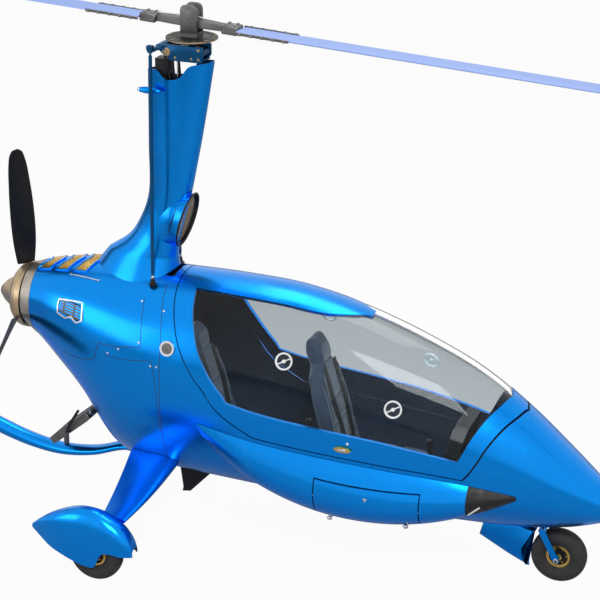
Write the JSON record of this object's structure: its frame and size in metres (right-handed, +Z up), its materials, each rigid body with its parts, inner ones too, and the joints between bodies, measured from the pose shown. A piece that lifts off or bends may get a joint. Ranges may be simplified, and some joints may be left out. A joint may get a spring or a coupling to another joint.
{
  "type": "gyrocopter",
  "caption": "Enclosed tandem gyrocopter with a teetering rotor, pusher propeller, hinged clear canopy, steerable nose wheel and hinged flank lids.",
  "frame": {"origin": "on the ground below the rotor axis, at the middle of the rotor", "axes": "+X forward along the parked blades, +Y to port, +Z up"},
  "size_m": [8.5859, 1.9048, 3.067],
  "materials": {
    "body_paint": "metallic blue paint on a laminate skin, high gloss",
    "blade_paint": "satin pale periwinkle paint",
    "frame_paint": "blue powder coat",
    "cabin_board": "dark laminate",
    "clear_canopy": "clear moulded acrylic",
    "black_plastic": "satin black",
    "bronze": "bronze anodised",
    "gold": "gold anodised",
    "grey_metal": "satin grey anodised",
    "steel": "bright steel",
    "engine_metal": "cast aluminium and steel",
    "tyre": "black rubber",
    "upholstery": "dark grey-blue upholstery",
    "carbon": "black composite"
  },
  "bodies": {
    "root": {"fuselage": "body_paint", "engine_cowl": "body_paint", "canopy_hinges": "steel", "mast_fairing": "body_paint", "mast_post": "grey_metal", "air_intake": "body_paint", "engine": "engine_metal", "cabin_floor": "cabin_board", "instrument_panel": "black_plastic", "front_seat": "upholstery", "rear_seat": "upholstery", "fuel_filler": "steel", "pod_left": "body_paint", "pod_right": "body_paint", "pod_nose_caps": "black_plastic", "lid_hinges": "steel", "gear_legs": "body_paint", "wheel_pant_left": "body_paint", "wheel_pant_right": "body_paint", "main_axles": "steel", "nose_fairing": "body_paint", "belly_scoop": "black_plastic", "tail_boom": "body_paint", "oil_cooler": "grey_metal", "tail_pylon": "body_paint", "tailplane": "body_paint", "end_fins": "body_paint", "tail_fin": "body_paint", "rotor_head": "frame_paint", "control_rods": "frame_paint", "strobe_pods": "frame_paint"},
    "canopy": {"canopy_frame": "body_paint", "canopy_glass": "clear_canopy", "canopy_handle": "gold", "canopy_arms": "steel"},
    "lid_left": {"pod_lid_left": "body_paint", "lid_arms_left": "steel"},
    "lid_right": {"pod_lid_right": "body_paint", "lid_arms_right": "steel"},
    "rotor_hub": {"rotor_tower": "grey_metal"},
    "rotor": {"teeter_bar": "grey_metal", "rotor_blade_fore": "blade_paint", "rotor_blade_aft": "blade_paint"},
    "propeller": {"spinner": "bronze", "prop_blades": "carbon"},
    "fork": {"nose_fork": "frame_paint"},
    "nose_wheel": {"nose_rim": "bronze", "nose_tyre": "tyre"},
    "wheel_left": {"main_rim_left": "bronze", "main_tyre_left": "tyre"},
    "wheel_right": {"main_rim_right": "bronze", "main_tyre_right": "tyre"},
    "rudder": {"rudder": "body_paint"}
  },
  "joints": [
    {"name": "rotor_spin", "type": "hinge", "parent": "root", "child": "rotor_hub", "pos_m": [0, 0, 2.722], "axis": [0, 0, 1], "continuous": true},
    {"name": "rotor_teeter", "type": "hinge", "parent": "rotor_hub", "child": "rotor", "pos_m": [0, 0, 2.861], "axis": [0, 1, 0], "range_deg": [-11.4, 4.6]},
    {"name": "prop_spin", "type": "hinge", "parent": "root", "child": "propeller", "pos_m": [-1.04, 0, 1.165], "axis": [1, 0, 0], "continuous": true},
    {"name": "canopy_hinge", "type": "hinge", "parent": "root", "child": "canopy", "pos_m": [0.56, 0.45, 0.68], "axis": [-0.9963, 0.0583, 0.0636], "range_deg": [0, 80]},
    {"name": "lid_left_hinge", "type": "hinge", "parent": "root", "child": "lid_left", "pos_m": [0.9, 0.37801, 0.3241], "axis": [-0.9975, 0.0284, -0.0646], "range_deg": [0, 80]},
    {"name": "lid_right_hinge", "type": "hinge", "parent": "root", "child": "lid_right", "pos_m": [0.9, -0.37801, 0.3241], "axis": [0.9975, 0.0284, 0.0646], "range_deg": [0, 80]},
    {"name": "nose_steer", "type": "hinge", "parent": "root", "child": "fork", "pos_m": [2.07, 0, 0.148], "axis": [-0.4695, 0, 0.8829], "range_deg": [-25, 25]},
    {"name": "nose_wheel_spin", "type": "hinge", "parent": "fork", "child": "nose_wheel", "pos_m": [2.07, 0, 0.148], "axis": [0, 1, 0], "continuous": true},
    {"name": "wheel_left_spin", "type": "hinge", "parent": "root", "child": "wheel_left", "pos_m": [-0.2, 0.876, 0.148], "axis": [0, 1, 0], "continuous": true},
    {"name": "wheel_right_spin", "type": "hinge", "parent": "root", "child": "wheel_right", "pos_m": [-0.2, -0.876, 0.148], "axis": [0, 1, 0], "continuous": true},
    {"name": "rudder_hinge", "type": "hinge", "parent": "root", "child": "rudder", "pos_m": [-2.5, 0, 1.2], "axis": [0, 0, 1], "range_deg": [-25, 25]}
  ]
}
